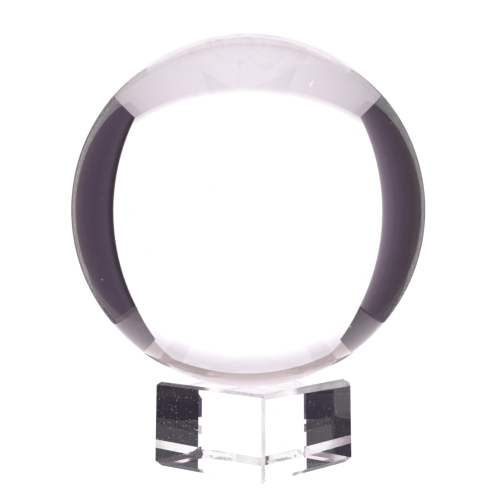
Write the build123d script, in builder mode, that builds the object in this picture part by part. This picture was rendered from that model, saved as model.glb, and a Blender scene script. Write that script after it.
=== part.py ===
"""Crystal ball on a square glass stand.

A solid glass ball rests loose in a shallow round seat, ground in the top of a bevelled glass block.
The origin is on the surface that the block stands on, straight below the middle of the ball.
The block's sides face along X and Y.
"""
from build123d import *
from math import atan, degrees
import os

# Driving sizes, in millimetres.
ball_diameter = 80.0      # the polished ball
stand_side = 32.6         # width of the block across its foot
stand_height = 19.3       # from the foot to the flat top
side_lean = 0.25          # how far each side leans in between the foot and the top
corner_bevel = 0.6        # cut on the four upright edges
top_bevel = 0.8           # cut round the top, measured across it
foot_bevel = 1.05         # cut round the foot, measured across it
seat_depth = 1.25         # lowest point of the seat, below the flat top
seat_clearance = 0.1      # space between the ball and the seat, the same all over
block_shift = 0.9         # the seat is ground off the block's middle by this much in X and in Y

# Sizes that follow from them.
ball_radius = ball_diameter / 2
seat_radius = ball_radius + seat_clearance
ball_height = stand_height - seat_depth + seat_radius
foot_half = stand_side / 2
top_half = foot_half - side_lean
lean_angle = degrees(atan(side_lean / stand_height))
block_middle = Vector(block_shift, block_shift, 0)
up = Vector(0, 0, 1)


def half_disc(radius):
    """Half of an upright disc round the ball's middle, ready to be turned into a ball."""
    with BuildSketch(Plane.XZ) as profile:
        with BuildLine():
            CenterArc((0, ball_height), radius, -90, 180)
            Line((0, ball_height + radius), (0, ball_height - radius))
        make_face()
    return profile.sketch


# The ball is one solid sphere, polished all over.
with BuildPart() as crystal_ball:
    add(half_disc(ball_radius))
    revolve(axis=Axis.Z)

# The stand is a solid block whose sides lean in slightly. Each bevel is ground flat.
with BuildPart() as square_stand:
    with BuildSketch():
        with Locations(block_middle):
            Rectangle(stand_side, stand_side)
    extrude(amount=stand_height, taper=lean_angle)

    upright_edges = square_stand.edges().group_by(Axis.Z)[1]
    chamfer(upright_edges, corner_bevel)

    for quarter_turn in range(4):
        outward = Vector(1, 0, 0).rotate(Axis.Z, 90 * quarter_turn)
        top_line = block_middle + outward * (top_half - top_bevel) + up * stand_height
        foot_line = block_middle + outward * (foot_half - foot_bevel)
        split(bisect_by=Plane(origin=top_line, z_dir=outward + up), keep=Keep.BOTTOM)
        split(bisect_by=Plane(origin=foot_line, z_dir=outward - up), keep=Keep.BOTTOM)

    # The seat follows the ball's own curve, with a small space between them.
    add(half_disc(seat_radius))
    revolve(axis=Axis.Z, mode=Mode.SUBTRACT)

crystal_ball.part.label = "crystal_ball"
square_stand.part.label = "square_stand"

os.makedirs("parts", exist_ok=True)
export_step(crystal_ball.part, "parts/crystal_ball.step")
export_step(square_stand.part, "parts/square_stand.step")
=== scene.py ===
"""A clear glass ball resting on a small bevelled glass block, in a plain white studio."""
import bpy
import numpy as np
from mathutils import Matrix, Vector


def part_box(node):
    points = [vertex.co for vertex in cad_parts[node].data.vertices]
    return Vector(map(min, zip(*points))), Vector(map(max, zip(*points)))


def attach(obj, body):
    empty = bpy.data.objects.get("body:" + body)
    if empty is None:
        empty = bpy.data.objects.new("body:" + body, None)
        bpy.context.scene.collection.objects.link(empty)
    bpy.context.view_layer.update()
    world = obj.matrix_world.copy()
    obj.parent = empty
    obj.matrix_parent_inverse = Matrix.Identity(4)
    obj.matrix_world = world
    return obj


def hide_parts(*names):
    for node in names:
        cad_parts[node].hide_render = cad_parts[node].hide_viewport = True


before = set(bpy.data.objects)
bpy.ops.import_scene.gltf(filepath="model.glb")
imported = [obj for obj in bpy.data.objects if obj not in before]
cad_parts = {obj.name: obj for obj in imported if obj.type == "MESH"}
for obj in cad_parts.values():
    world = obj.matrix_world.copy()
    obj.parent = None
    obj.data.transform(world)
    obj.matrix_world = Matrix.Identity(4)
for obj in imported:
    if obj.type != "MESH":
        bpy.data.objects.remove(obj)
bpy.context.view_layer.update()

# -----------------------------------------------------------------------------------------------------------
# The ball.
# One solid sphere of clear optical crown glass, ground between cups and polished all over.
# It isn't fixed: it lies by its weight in the seat of the block.
# -----------------------------------------------------------------------------------------------------------
MM = 0.001
ball_low, ball_high = (np.array(corner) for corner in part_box("crystal_ball"))
ball_middle = (ball_low + ball_high) / 2
ball_radius = (ball_high[2] - ball_low[2]) / 2
BALL_RINGS = 199
BALL_AROUND = 400


def add_mesh(name, points, faces, smooth):
    """A mesh from whole arrays: points (n, 3) in metres, lists of point numbers, and a smooth flag a face."""
    mesh = bpy.data.meshes.new(name)
    mesh.from_pydata(points.tolist(), [], faces)
    mesh.polygons.foreach_set("use_smooth", smooth)
    mesh.update()
    piece = bpy.data.objects.new(name, mesh)
    bpy.context.collection.objects.link(piece)
    return piece


def closed_grid_faces(rings, around):
    """Faces between neighbouring rings, bottom first, closed at each end by a fan from one point."""
    here = np.arange(around)
    ahead = (here + 1) % around
    row = 1 + np.arange(rings - 1)[:, None] * around
    quads = np.stack([row + here, row + ahead, row + around + ahead, row + around + here], axis=-1)
    last = 1 + (rings - 1) * around
    start_fan = np.stack([np.zeros_like(here), 1 + ahead, 1 + here], axis=-1)
    end_fan = np.stack([np.full_like(here, last + around), last + here, last + ahead], axis=-1)
    return start_fan.tolist() + quads.reshape(-1, 4).tolist() + end_fan.tolist()


def ball_points(middle, radius, rings, around):
    """Points by latitude and longitude: middle + radius * (cos lat cos lon, cos lat sin lon, sin lat)."""
    lat = np.linspace(-np.pi / 2, np.pi / 2, rings + 2)[1:-1, None]
    lon = np.linspace(0, 2 * np.pi, around, endpoint=False)[None, :]
    ring = np.stack([np.cos(lat) * np.cos(lon), np.cos(lat) * np.sin(lon), np.sin(lat) + 0 * lon], axis=-1)
    return middle + radius * np.concatenate([[[0, 0, -1]], ring.reshape(-1, 3), [[0, 0, 1]]])


def linear(hex_colour):
    """An sRGB hex colour as linear red, green, blue and alpha."""
    srgb = np.array([int(hex_colour[i:i + 2], 16) for i in (1, 3, 5)]) / 255
    rgb = np.where(srgb <= 0.04045, srgb / 12.92, ((srgb + 0.055) / 1.055) ** 2.4)
    return (*rgb.tolist(), 1.0)


def add_node(tree, kind, settings={}, links={}, values={}):
    """One node: settings are its own properties, links are sockets into its inputs, values are inputs."""
    node = tree.nodes.new(kind)
    for name, value in settings.items():
        setattr(node, name, value)
    for name, value in values.items():
        node.inputs[name].default_value = value
    for name, socket in links.items():
        tree.links.new(socket, node.inputs[name])
    return node


def new_material(name):
    """An empty node material and its tree."""
    material = bpy.data.materials.new(name)
    material.use_nodes = True
    material.node_tree.nodes.clear()
    return material, material.node_tree


CROWN_IOR = 1.517
THICK_GLASS = "#FBF8FC"
THICK_DENSITY = 1.0


def specks(tree, place, spacing, radius, share, shape=(1, 1, 1)):
    """1 inside small specks, else 0: one to a cell of the spacing, in that share of the cells, sizes in mm.

    shape stretches a speck: a value under 1 makes it longer that way. Real dust is finer: it is drawn as
    coarse as it has to be to show.
    """
    stretched = add_node(tree, "ShaderNodeMapping", {}, {"Vector": place}, {"Scale": shape})
    cell = {"Vector": stretched.outputs["Vector"]}
    grain = add_node(tree, "ShaderNodeTexVoronoi", {"feature": "F1"}, cell, {"Scale": 1 / (spacing * MM)})
    reach = radius / spacing
    inside = add_node(tree, "ShaderNodeMath", {"operation": "LESS_THAN"},
                      {0: grain.outputs["Distance"]}, {1: reach})
    pick = add_node(tree, "ShaderNodeSeparateColor", {}, {"Color": grain.outputs["Color"]})
    chosen = add_node(tree, "ShaderNodeMath", {"operation": "LESS_THAN"},
                      {0: pick.outputs["Red"]}, {1: share})
    both = add_node(tree, "ShaderNodeMath", {"operation": "MULTIPLY"},
                    {0: inside.outputs["Value"], 1: chosen.outputs["Value"]})
    return both.outputs["Value"]


def strongest(tree, masks):
    """The highest of several masks."""
    result = masks[0]
    for mask in masks[1:]:
        higher = add_node(tree, "ShaderNodeMath", {"operation": "MAXIMUM"}, {0: result, 1: mask})
        result = higher.outputs["Value"]
    return result


def polished_crown_glass(name, dust_share, stroke_share, roughness=0.0):
    """Clear optical crown glass, ground and polished.

    It bends what stands behind it, mirrors at its rims and takes a faint violet tone where it is thick.
    Grains of dust and short wiping marks scatter a little light. A roughness over 0 is a face left smoothed.
    """
    material, tree = new_material(name)
    place = add_node(tree, "ShaderNodeTexCoord").outputs["Object"]
    marks = strongest(tree, [
        specks(tree, place, spacing=1.1, radius=0.1, share=dust_share),
        specks(tree, place, spacing=0.6, radius=0.06, share=dust_share),
        specks(tree, place, spacing=0.8, radius=0.06, share=stroke_share, shape=(1, 1, 0.12)),
        specks(tree, place, spacing=0.9, radius=0.06, share=stroke_share, shape=(0.15, 0.15, 1))])
    rough = add_node(tree, "ShaderNodeMapRange", {}, {"Value": marks}, {"To Min": roughness, "To Max": 1.0})
    glass = add_node(tree, "ShaderNodeBsdfPrincipled", {}, {"Roughness": rough.outputs["Result"]},
                     {"Base Color": linear("#FFFFFF"), "IOR": CROWN_IOR, "Transmission Weight": 1.0})
    depth = add_node(tree, "ShaderNodeVolumeAbsorption", {}, {},
                     {"Color": linear(THICK_GLASS), "Density": THICK_DENSITY})
    add_node(tree, "ShaderNodeOutputMaterial", {},
             {"Surface": glass.outputs["BSDF"], "Volume": depth.outputs["Volume"]})
    return material


BALL_DUST = 0.04
ball = add_mesh("glass_ball", ball_points(ball_middle, ball_radius, BALL_RINGS, BALL_AROUND),
                closed_grid_faces(BALL_RINGS, BALL_AROUND), [True] * ((BALL_RINGS + 1) * BALL_AROUND))
ball.data.materials.append(polished_crown_glass("polished_crown_glass", BALL_DUST, 0.0))
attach(ball, "ball")
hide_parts("crystal_ball")

# -----------------------------------------------------------------------------------------------------------
# The stand.
# A solid block of the same glass, sawn, ground flat and polished, with every edge bevelled by hand on a lap.
# A shallow round seat is ground into its top, and the ball lies in it.
# -----------------------------------------------------------------------------------------------------------
GRIT_SIZE = 0.15 * MM
MATT_SMOOTHEST = 0.2
MATT_ROUGHEST = 0.5
MATT_CLEAR_SHARE = 0.5


def matt_edge_glass(name):
    """Crown glass ground with fine grit and left matt: it scatters light white, and is half clear.

    The grain is drawn about three times coarser than real grit marks, or it wouldn't show.
    """
    material, tree = new_material(name)
    place = add_node(tree, "ShaderNodeTexCoord").outputs["Object"]
    grit = add_node(tree, "ShaderNodeTexNoise", {}, {"Vector": place},
                    {"Scale": 1 / GRIT_SIZE, "Detail": 3.0})
    rough = add_node(tree, "ShaderNodeMapRange", {}, {"Value": grit.outputs["Fac"]},
                     {"To Min": MATT_SMOOTHEST, "To Max": MATT_ROUGHEST})
    glass = add_node(tree, "ShaderNodeBsdfPrincipled", {}, {"Roughness": rough.outputs["Result"]},
                     {"Base Color": linear("#F3F1F3"), "IOR": CROWN_IOR,
                      "Transmission Weight": MATT_CLEAR_SHARE})
    add_node(tree, "ShaderNodeOutputMaterial", {}, {"Surface": glass.outputs["BSDF"]})
    return material


stand_low, stand_high = (np.array(corner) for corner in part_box("square_stand"))
stand_middle = (stand_low + stand_high) / 2
STAND_TOP = stand_high[2]
SIDE_LEAN = 0.25 * MM
# The box is widest at the top of the foot's bevel, where the leaning sides already stand in a hair.
LEAN_OVER_BEVEL = 0.013 * MM
FOOT_HALF = (stand_high[0] - stand_low[0]) / 2 + LEAN_OVER_BEVEL
# Upright bevels in mm where each side ends: front right, right back, back left, left front.
UPRIGHT_BEVELS = np.array([0.62, 0.6, 2.1, 0.65]) * MM
SEAT_GAP = 0.1 * MM
# Bevels in mm at the start and the end of each side, going round from the front side (-Y) by the right (+X).
TOP_BEVELS = np.array([(0.65, 0.62), (1.05, 1.55), (0.9, 0.75), (0.8, 0.95)]) * MM
FOOT_BEVELS = np.array([(1.15, 1.0), (1.05, 1.2), (0.95, 1.05), (1.1, 0.95)]) * MM
OUTWARD = np.array([(0, -1), (1, 0), (0, 1), (-1, 0)])
ONWARD = np.array([(1, 0), (0, 1), (-1, 0), (0, -1)])
SIDE_POINTS = 46
CORNER_POINTS = 4


def outline_corners(height, inset):
    """The outline's two corners on each side, at one height each: (4 sides, start and end, xyz).

    A side stands off the middle by the leaning half width less its inset, and ends short of its neighbour's
    plane by the upright bevel. height and inset are (4, 2): one value for the start and the end of each side.
    """
    half = FOOT_HALF - SIDE_LEAN * height / STAND_TOP
    before = np.roll(inset[:, 1], 1)
    after = np.roll(inset[:, 0], -1)
    corner_cut = np.stack([np.roll(UPRIGHT_BEVELS, 1), UPRIGHT_BEVELS], axis=1)
    reach = half - corner_cut - np.stack([before, after], axis=1)
    along = reach * np.array([-1, 1])
    off = half - inset
    flat = OUTWARD[:, None, :] * off[..., None] + ONWARD[:, None, :] * along[..., None]
    return np.concatenate([flat + stand_middle[:2], height[..., None]], axis=-1)


def outline_ring(corners):
    """Even points along the eight edges between the corners: each side, then the bevel on to the next."""
    share = np.linspace(0, 1, SIDE_POINTS, endpoint=False)[:, None]
    onto = np.linspace(0, 1, CORNER_POINTS, endpoint=False)[:, None]
    start = corners[:, None, 0]
    end = corners[:, None, 1]
    following = np.roll(start, -1, axis=0)
    side = start + (end - start) * share
    corner = end + (following - end) * onto
    return np.concatenate([side, corner], axis=1).reshape(-1, 3)


def between(first, last, steps):
    """Rings in a straight blend from the first to the last, leaving out the first: (steps, n, 3)."""
    return first + (last - first) * (np.arange(1, steps + 1) / steps)[:, None, None]


none = np.zeros((4, 2))
foot_ring = outline_ring(outline_corners(none, FOOT_BEVELS))
side_low_ring = outline_ring(outline_corners(FOOT_BEVELS, none))
side_high_ring = outline_ring(outline_corners(STAND_TOP - TOP_BEVELS, none))
top_ring = outline_ring(outline_corners(none + STAND_TOP, TOP_BEVELS))

# The seat is part of a sphere round the ball's middle, a small gap larger than the ball.
seat_radius = ball_radius + SEAT_GAP
rim_angle = np.arccos((ball_middle[2] - STAND_TOP) / seat_radius)
turn = np.arctan2(top_ring[:, 1] - ball_middle[1], top_ring[:, 0] - ball_middle[0])


def seat_ring(angle):
    """The seat's circle at one angle up from its lowest point, in line with the top outline's points.

    Each point is the ball's middle + seat radius * (sin angle cos turn, sin angle sin turn, -cos angle).
    """
    flat_way = np.stack([np.cos(turn), np.sin(turn)], axis=-1)
    way = np.concatenate([np.sin(angle) * flat_way, -np.cos(angle) + 0 * turn[:, None]], axis=-1)
    return ball_middle + seat_radius * way


FOOT_RINGS = 10
BEVEL_RINGS = 2
SIDE_RINGS = 14
TOP_RINGS = 8
SEAT_RINGS = 24
seat_rings = np.stack([seat_ring(angle) for angle in np.linspace(rim_angle, 0, SEAT_RINGS + 1)[:-1]])
foot_middle = np.array([stand_middle[0], stand_middle[1], 0.0])
seat_lowest = ball_middle - np.array([0, 0, seat_radius])
foot_rings = between(foot_middle + 0 * foot_ring, foot_ring, FOOT_RINGS)[:-1]
rings = np.concatenate([
    foot_rings, foot_ring[None], between(foot_ring, side_low_ring, BEVEL_RINGS),
    between(side_low_ring, side_high_ring, SIDE_RINGS), between(side_high_ring, top_ring, BEVEL_RINGS),
    between(top_ring, seat_rings[0], TOP_RINGS), seat_rings[1:]])
around = rings.shape[1]
stand_points = np.concatenate([foot_middle[None], rings.reshape(-1, 3), seat_lowest[None]])
stand_faces = closed_grid_faces(len(rings), around)
in_seat = np.arange(len(stand_faces)) >= len(stand_faces) - around * SEAT_RINGS
stand = add_mesh("glass_block", stand_points, stand_faces, in_seat.tolist())
SIDE_DUST = 0.35
SIDE_STROKES = 0.04
BEVEL_DUST = 0.2
FOOT_BEVEL_ROUGHNESS = 0.08
TOP_BEVEL_ROUGHNESS = 0.22
POLISHED, FOOT_BEVEL, TOP_BEVEL, MATT_EDGE = range(4)
for finish in (
        polished_crown_glass("polished_block_glass", SIDE_DUST, SIDE_STROKES),
        polished_crown_glass("smoothed_foot_bevel_glass", BEVEL_DUST, 0.0, FOOT_BEVEL_ROUGHNESS),
        polished_crown_glass("smoothed_top_bevel_glass", BEVEL_DUST, 0.0, TOP_BEVEL_ROUGHNESS),
        matt_edge_glass("matt_ground_edge_glass")):
    stand.data.materials.append(finish)

# The finish of each face goes by its place in the rings. The far upright edge is polished, the others matt.
ring_number = np.repeat(np.arange(len(rings) - 1), around)
around_number = np.tile(np.arange(around), len(rings) - 1)
first_foot = len(foot_rings)
first_side = first_foot + BEVEL_RINGS
first_top = first_side + SIDE_RINGS
past_top = first_top + BEVEL_RINGS
in_foot_bevel = (ring_number >= first_foot) & (ring_number < first_side)
in_top_bevel = (ring_number >= first_top) & (ring_number < past_top)
on_the_side = (ring_number >= first_foot) & (ring_number < past_top)
on_an_edge = around_number % (SIDE_POINTS + CORNER_POINTS) >= SIDE_POINTS
FAR_EDGE = 2
on_far_edge = around_number // (SIDE_POINTS + CORNER_POINTS) == FAR_EDGE
finish_number = np.select([on_an_edge & on_the_side & ~on_far_edge, in_top_bevel, in_foot_bevel],
                          [MATT_EDGE, TOP_BEVEL, FOOT_BEVEL], POLISHED)
fan = np.full(around, POLISHED)
stand.data.polygons.foreach_set("material_index", np.concatenate([fan, finish_number, fan]).tolist())
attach(stand, "stand")
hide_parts("square_stand")

# -----------------------------------------------------------------------------------------------------------
# The camera.
# It stands close and almost level with the ball, in front of one of the block's upright edges.
# -----------------------------------------------------------------------------------------------------------
CAMERA_TURN = np.radians(40)
ahead = np.array([-np.sin(CAMERA_TURN), np.cos(CAMERA_TURN), 0])
right = np.array([np.cos(CAMERA_TURN), np.sin(CAMERA_TURN), 0])
up = np.array([0, 0, 1.0])
EYE_DISTANCE = 322 * MM
EYE_RISE = np.radians(1.4)
LOOK_DOWN = np.radians(3.0)
LOOK_SIDE = np.radians(0.07)
optics = bpy.data.cameras.new("camera")
optics.lens = 101.86
optics.sensor_width = 36
optics.clip_start = 0.01
optics.clip_end = 10
camera = bpy.data.objects.new("camera", optics)
bpy.context.collection.objects.link(camera)
to_eye = np.sin(EYE_RISE) * up - np.cos(EYE_RISE) * ahead
camera.location = ball_middle + EYE_DISTANCE * to_eye
level_look = np.cos(LOOK_SIDE) * ahead + np.sin(LOOK_SIDE) * right
look = np.cos(LOOK_DOWN) * level_look - np.sin(LOOK_DOWN) * up
camera.rotation_mode = "QUATERNION"
camera.rotation_quaternion = Vector(look).to_track_quat("-Z", "Y")
bpy.context.scene.camera = camera

# -----------------------------------------------------------------------------------------------------------
# The studio.
# The object stands on a lit white table. Cards that only the glass sees stand round it: a bright one behind,
# one overhead, and dark ones along both sides, which draw the ball's crescents and the block's dark ends.
# -----------------------------------------------------------------------------------------------------------


def add_card(name, corner, along, upward, material, rise=0.0):
    """A flat card from one corner and its two sides; rise lifts the end of its far edge out of square."""
    points = np.array([corner, corner + along, corner + along + upward + rise * up, corner + upward])
    card = add_mesh(name, points, [[0, 1, 2, 3]], [False])
    card.data.materials.append(material)
    return card


def for_glass_only(card, reflected=True, through=True):
    """The card shows in the glass, reflected or through it, and nowhere else, and it casts no shadow."""
    card.visible_camera = False
    card.visible_diffuse = False
    card.visible_shadow = False
    card.visible_glossy = reflected
    card.visible_transmission = through


def glow(name, colour, strength=1.0):
    """A card that shines evenly. Its colour is an amount of linear light, so it may pass 1."""
    material, tree = new_material(name)
    light = add_node(tree, "ShaderNodeEmission", {}, {}, {"Color": (*colour, 1), "Strength": strength})
    add_node(tree, "ShaderNodeOutputMaterial", {}, {"Surface": light.outputs["Emission"]})
    return material


def ramp_along(tree, direction, stops):
    """Light by place: stops are (mm along the direction, linear light there), blended straight between."""
    place = add_node(tree, "ShaderNodeTexCoord").outputs["Object"]
    way = add_node(tree, "ShaderNodeVectorMath", {"operation": "DOT_PRODUCT"}, {0: place}, {1: direction})
    first, last = stops[0][0], stops[-1][0]
    share = add_node(tree, "ShaderNodeMapRange", {}, {"Value": way.outputs["Value"]},
                     {"From Min": first * MM, "From Max": last * MM})
    ramp = add_node(tree, "ShaderNodeValToRGB", {}, {"Fac": share.outputs["Result"]})
    steps = ramp.color_ramp.elements
    steps[0].color = (*stops[0][1], 1)
    steps[1].color = (*stops[-1][1], 1)
    for mm, light in stops[1:-1]:
        steps.new((mm - first) / (last - first)).color = (*light, 1)
    return ramp.outputs["Color"]


def glow_along(name, direction, stops):
    """A card that shines by place along a direction."""
    material, tree = new_material(name)
    light = add_node(tree, "ShaderNodeEmission", {}, {"Color": ramp_along(tree, direction, stops)})
    add_node(tree, "ShaderNodeOutputMaterial", {}, {"Surface": light.outputs["Emission"]})
    return material


# The bright card behind: its foot and its top fade, which shades the ends of the ball's bright middle.
BACK_HALF = 76 * MM
BACK = 155 * MM
BACK_TOP = 190 * MM
BACK_RISE = 12 * MM
back_light = glow_along("back_card_light", up, [
    (0, (0.84, 0.77, 0.84)), (3, (0.93, 0.88, 0.92)), (7, (1.12, 1.12, 1.12)), (126, (1.15, 1.15, 1.15)),
    (138, (1.03, 1.01, 1.03)), (152, (0.92, 0.86, 0.92)), (168, (0.83, 0.76, 0.83)),
    (200, (0.93, 0.86, 0.9))])
for_glass_only(add_card("back_card", -BACK_HALF * right + BACK * ahead, 2 * BACK_HALF * right, BACK_TOP * up,
                        back_light, BACK_RISE))

# Along each side: a dark wall beside the bright card with a grey one on top, and a tall grey one nearer the
# eye that lightens with height.
SIDES = {"right": 66.5 * MM, "left": -65.4 * MM}
NEAR = 62 * MM
FRONT = -120 * MM
WALL_TOP = 110.5 * MM
GREY_TOP = 152 * MM
GREY_LEAN = 4 * MM
CEILING = 420 * MM
wall_darks = {
    "right": glow_along("right_card_dark", ahead, [
        (62, (0.09, 0.06, 0.07)), (74, (0.04, 0.02, 0.045)), (96, (0.036, 0.022, 0.058)),
        (119, (0.048, 0.031, 0.065)), (140, (0.067, 0.055, 0.087)), (151, (0.02, 0.01, 0.02)),
        (155, (0.1, 0.08, 0.09))]),
    "left": glow_along("left_card_dark", ahead, [
        (62, (0.01, 0.008, 0.01)), (90, (0.02, 0.012, 0.022)), (110, (0.05, 0.035, 0.06)),
        (130, (0.1, 0.072, 0.11)), (143, (0.17, 0.13, 0.18)), (150, (0.26, 0.2, 0.27)),
        (155, (0.45, 0.4, 0.42))]),
}
side_greys = {
    "right": glow("right_grey", (0.11, 0.08, 0.1)),
    "left": glow("left_grey", (0.06, 0.045, 0.06)),
}
front_greys = {
    "right": glow_along("right_front_grey", up, [
        (0, (0.1, 0.08, 0.1)), (125, (0.1, 0.08, 0.1)), (165, (0.25, 0.22, 0.24)), (300, (0.7, 0.66, 0.7)),
        (420, (0.9, 0.88, 0.9))]),
    "left": glow_along("left_front_grey", up, [
        (0, (0.3, 0.22, 0.25)), (120, (0.3, 0.22, 0.25)), (165, (0.5, 0.45, 0.48)), (300, (0.85, 0.82, 0.85)),
        (420, (1, 1, 1))]),
}

# Close to the block, two cards a side: a dark one that shows through the block's ends, and a grey one further
# forward that only mirrors in it.
BLOCK_CARD_OFF = 25 * MM
BLOCK_CARD_FROM = 4 * MM
BLOCK_CARD_TOP = 25 * MM
BLOCK_FRONT_FROM = -26 * MM
BLOCK_FRONT_TOP = 16 * MM
BLOCK_CARD_LONG = 30 * MM
block_dark = glow_along("block_card_dark", up, [
    (0, (0.012, 0.009, 0.02)), (7, (0.012, 0.009, 0.02)), (10, (0.036, 0.026, 0.034)),
    (13, (0.014, 0.01, 0.022)), (25, (0.008, 0.006, 0.018))])
block_front_grey = glow("block_front_grey", (0.35, 0.31, 0.37))
for name, side in (("right", 1), ("left", -1)):
    wall_foot = SIDES[name] * right
    wall_long = (BACK - NEAR) * ahead
    for_glass_only(add_card(name + "_dark_card", wall_foot + NEAR * ahead, wall_long, WALL_TOP * up,
                            wall_darks[name]))
    for_glass_only(add_card(name + "_grey_card", wall_foot + NEAR * ahead + WALL_TOP * up, wall_long,
                            (GREY_TOP - WALL_TOP) * up + side * GREY_LEAN * right, side_greys[name]))
    for_glass_only(add_card(name + "_front_card", wall_foot + FRONT * ahead, (NEAR - FRONT) * ahead,
                            CEILING * up, front_greys[name]))
    block_foot = side * BLOCK_CARD_OFF * right
    block_long = BLOCK_CARD_LONG * ahead
    for_glass_only(add_card(name + "_block_front_card", block_foot + BLOCK_FRONT_FROM * ahead, block_long,
                            BLOCK_FRONT_TOP * up, block_front_grey), through=False)
    for_glass_only(add_card(name + "_block_card", block_foot + BLOCK_CARD_FROM * ahead, block_long,
                            BLOCK_CARD_TOP * up, block_dark))

# A small light card behind the block's far upright edge keeps what shows through its middle low down pale.
CORNER_CARD_HALF = 9 * MM
CORNER_CARD_AT = 25 * MM
CORNER_CARD_TOP = 9 * MM
for_glass_only(add_card("corner_light_card", -CORNER_CARD_HALF * right + CORNER_CARD_AT * ahead,
                        2 * CORNER_CARD_HALF * right, CORNER_CARD_TOP * up,
                        glow("corner_light", (1.13, 1.12, 1.13))))

# A grey card behind the eye stands for the darker side of the room. It starts well above the table.
ROOM_HALF = 260 * MM
ROOM = -420 * MM
ROOM_FOOT = 120 * MM
for_glass_only(add_card("camera_side_card", -ROOM_HALF * right + ROOM * ahead + ROOM_FOOT * up,
                        2 * ROOM_HALF * right, (CEILING - ROOM_FOOT) * up,
                        glow("camera_side_grey", (0.4, 0.35, 0.4))))

# Dark slats stand just behind the block's two far sides. Straight through the glass they are seen edge-on, so
# they hardly show there, but sight lines that run sideways in the block meet them.
FIN_STEP = 0.25 * MM
FIN_TOP = 5 * MM
FIN_GAP = 0.15 * MM
FIN_FIRST = 0.6
FIN_OVERLAP = 1.05
OUTER_HALF = 16.4 * MM
# The right corner, a point on each side of the far edge's cut, and the left corner, as shares of that half.
fin_corners = stand_middle[:2] + OUTER_HALF * np.array([(1, 1), (-0.84, 1), (-1, 0.84), (-1, -1)])
across = fin_corners @ right[:2]
beyond = fin_corners @ ahead[:2]
for name, side, first, last, inward, slant in (
        ("right", 1, 1, 0, (0, 1, 0), 40),
        ("left", -1, 2, 3, (-1, 0, 0), 50)):
    # Seen back through the block, the eye seems nearer to it by this share of the block's width.
    inside = np.arcsin(np.sin(np.radians(slant)) / CROWN_IOR)
    bend = 1 - np.tan(inside) / np.tan(np.radians(slant))
    seen_from = np.array(camera.location) + bend * FOOT_HALF * 2 * np.array(inward)
    fin_at = np.arange(across[first] + side * FIN_FIRST * FIN_STEP, across[last], side * FIN_STEP)
    side_line = np.interp(fin_at * side, [across[first] * side, across[last] * side],
                          [beyond[first], beyond[last]])
    foot_line = fin_at[:, None] * right + (side_line + FIN_GAP)[:, None] * ahead
    sight = (foot_line - seen_from) * [1, 1, 0]
    sight = sight / np.linalg.norm(sight, axis=1, keepdims=True)
    fin_foot = np.stack([foot_line, foot_line + FIN_OVERLAP * FIN_STEP * sight], axis=1)
    fin_points = np.concatenate([fin_foot, fin_foot[:, ::-1] + FIN_TOP * up], axis=1).reshape(-1, 3)
    fin_faces = np.arange(len(fin_points)).reshape(-1, 4).tolist()
    fin_card = add_mesh(name + "_fins", fin_points, fin_faces, [False] * len(fin_faces))
    fin_card.data.materials.append(block_dark)
    for_glass_only(fin_card)

# Overhead, a card that darkens and browns towards the back draws the band under the ball's bright middle.
OVERHEAD_HALF = 600 * MM
OVERHEAD_FRONT = -500 * MM
OVERHEAD_LONG = 1500 * MM
overhead_light = glow_along("overhead_card_light", ahead, [
    (-300, (1.05, 1.05, 1.05)), (60, (1.05, 1.05, 1.05)), (133, (0.92, 0.84, 0.88)),
    (182, (0.86, 0.75, 0.81)), (223, (0.76, 0.63, 0.65)), (253, (0.59, 0.46, 0.46)),
    (275, (0.58, 0.46, 0.46)), (290, (0.53, 0.43, 0.42)), (330, (0.5, 0.4, 0.39))])
for_glass_only(add_card("overhead_card", -OVERHEAD_HALF * right + OVERHEAD_FRONT * ahead + CEILING * up,
                        2 * OVERHEAD_HALF * right, OVERHEAD_LONG * ahead, overhead_light))

# The table as the glass sees it, with its light and shade painted in: a pale violet, painted darker
# than the lit table, with painted shade that darkens it to both sides, painted light that makes it lighter
# near the block, and a painted sheen that makes it white where it is met at a low angle. It lies a hair
# under the block's foot, so that the two don't touch.
UNDER_FOOT = -0.02 * MM
floor_light, floor_tree = new_material("floor_card_light")
# Painted shade: darker towards both sides, where the dark walls stand.
sideways_painted_shade = ramp_along(floor_tree, right, [
    (-66, (0.56, 0.48, 0.55)), (-52, (0.68, 0.61, 0.67)), (-34, (0.76, 0.69, 0.76)),
    (-10, (0.82, 0.755, 0.82)), (10, (0.82, 0.755, 0.82)), (34, (0.78, 0.71, 0.78)),
    (52, (0.7, 0.63, 0.69)), (66, (0.56, 0.48, 0.55))])
# Painted light, brightest near the block's foot, with a thin painted shadow line at 81 mm.
backwards_painted_light_and_shade = ramp_along(floor_tree, ahead, [
    (40, (1.3, 1.3, 1.3)), (66, (1.15, 1.17, 1.13)), (77, (1.05, 1.07, 1.05)), (81, (0.9, 0.88, 0.89)),
    (87, (0.97, 0.97, 0.97)), (110, (0.99, 0.99, 0.99)), (155, (1.02, 1.02, 1.02))])
shade = add_node(floor_tree, "ShaderNodeVectorMath", {"operation": "MULTIPLY"}, {0: sideways_painted_shade, 1: backwards_painted_light_and_shade})
# The table's painted violet with its painted light and shade.
matt = add_node(floor_tree, "ShaderNodeEmission", {}, {"Color": shade.outputs["Vector"]})
# A painted sheen: white light where the table is met at a low angle.
SHEEN_LIGHT = 1.15
SHEEN_FROM = 0.6
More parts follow.
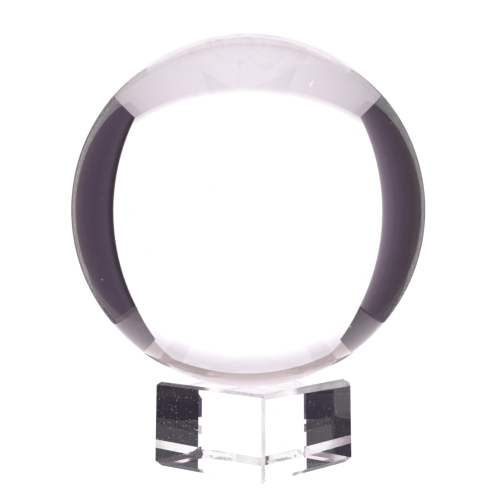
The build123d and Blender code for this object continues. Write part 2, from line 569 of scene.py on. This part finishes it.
SHEEN_FULL = 0.78
painted_sheen = add_node(floor_tree, "ShaderNodeEmission", {}, {}, {"Strength": SHEEN_LIGHT})
facing = add_node(floor_tree, "ShaderNodeLayerWeight", {}, {}, {"Blend": 0.5})
low_angle = add_node(floor_tree, "ShaderNodeMapRange", {}, {"Value": facing.outputs["Facing"]},
                     {"From Min": SHEEN_FROM, "From Max": SHEEN_FULL})
both = add_node(floor_tree, "ShaderNodeMixShader", {},
                {"Fac": low_angle.outputs["Result"], 1: matt.outputs["Emission"],
                 2: painted_sheen.outputs["Emission"]})
add_node(floor_tree, "ShaderNodeOutputMaterial", {}, {"Surface": both.outputs["Shader"]})
for_glass_only(add_card("floor_card", -BACK_HALF * right + ROOM * ahead + UNDER_FOOT * up,
                        2 * BACK_HALF * right, (BACK - ROOM) * ahead, floor_light))

# A dark card on the table before the block, which isn't mirrored, darkens the block's ends.
SHADE_HALF = 20 * MM
SHADE_FROM = -75 * MM
SHADE_LONG = 53 * MM
for_glass_only(add_card("block_foot_card", -SHADE_HALF * right + SHADE_FROM * ahead + UNDER_FOOT / 2 * up,
                        2 * SHADE_HALF * right, SHADE_LONG * ahead,
                        glow("block_foot_dark", (0.08, 0.06, 0.12))), reflected=False)

# The lit white table, and the white room round it.
TABLE_HALF = 3000 * MM
TABLE_DOWN = -0.05 * MM
ROOM_LIGHT = 1.1
add_card("floor", np.array([-TABLE_HALF, -TABLE_HALF, TABLE_DOWN]), np.array([2 * TABLE_HALF, 0, 0]),
         np.array([0, 2 * TABLE_HALF, 0]), glow("lit_white_table", (1, 1, 1), ROOM_LIGHT))
world = bpy.data.worlds.new("white_studio")
world.use_nodes = True
sky = world.node_tree.nodes["Background"]
sky.inputs["Color"].default_value = (1, 1, 1, 1)
sky.inputs["Strength"].default_value = ROOM_LIGHT
scene = bpy.context.scene
scene.world = world
scene.view_settings.view_transform = "Standard"
scene.cycles.use_denoising = True
scene.cycles.max_bounces = 32
scene.cycles.transmission_bounces = 32
scene.cycles.glossy_bounces = 16
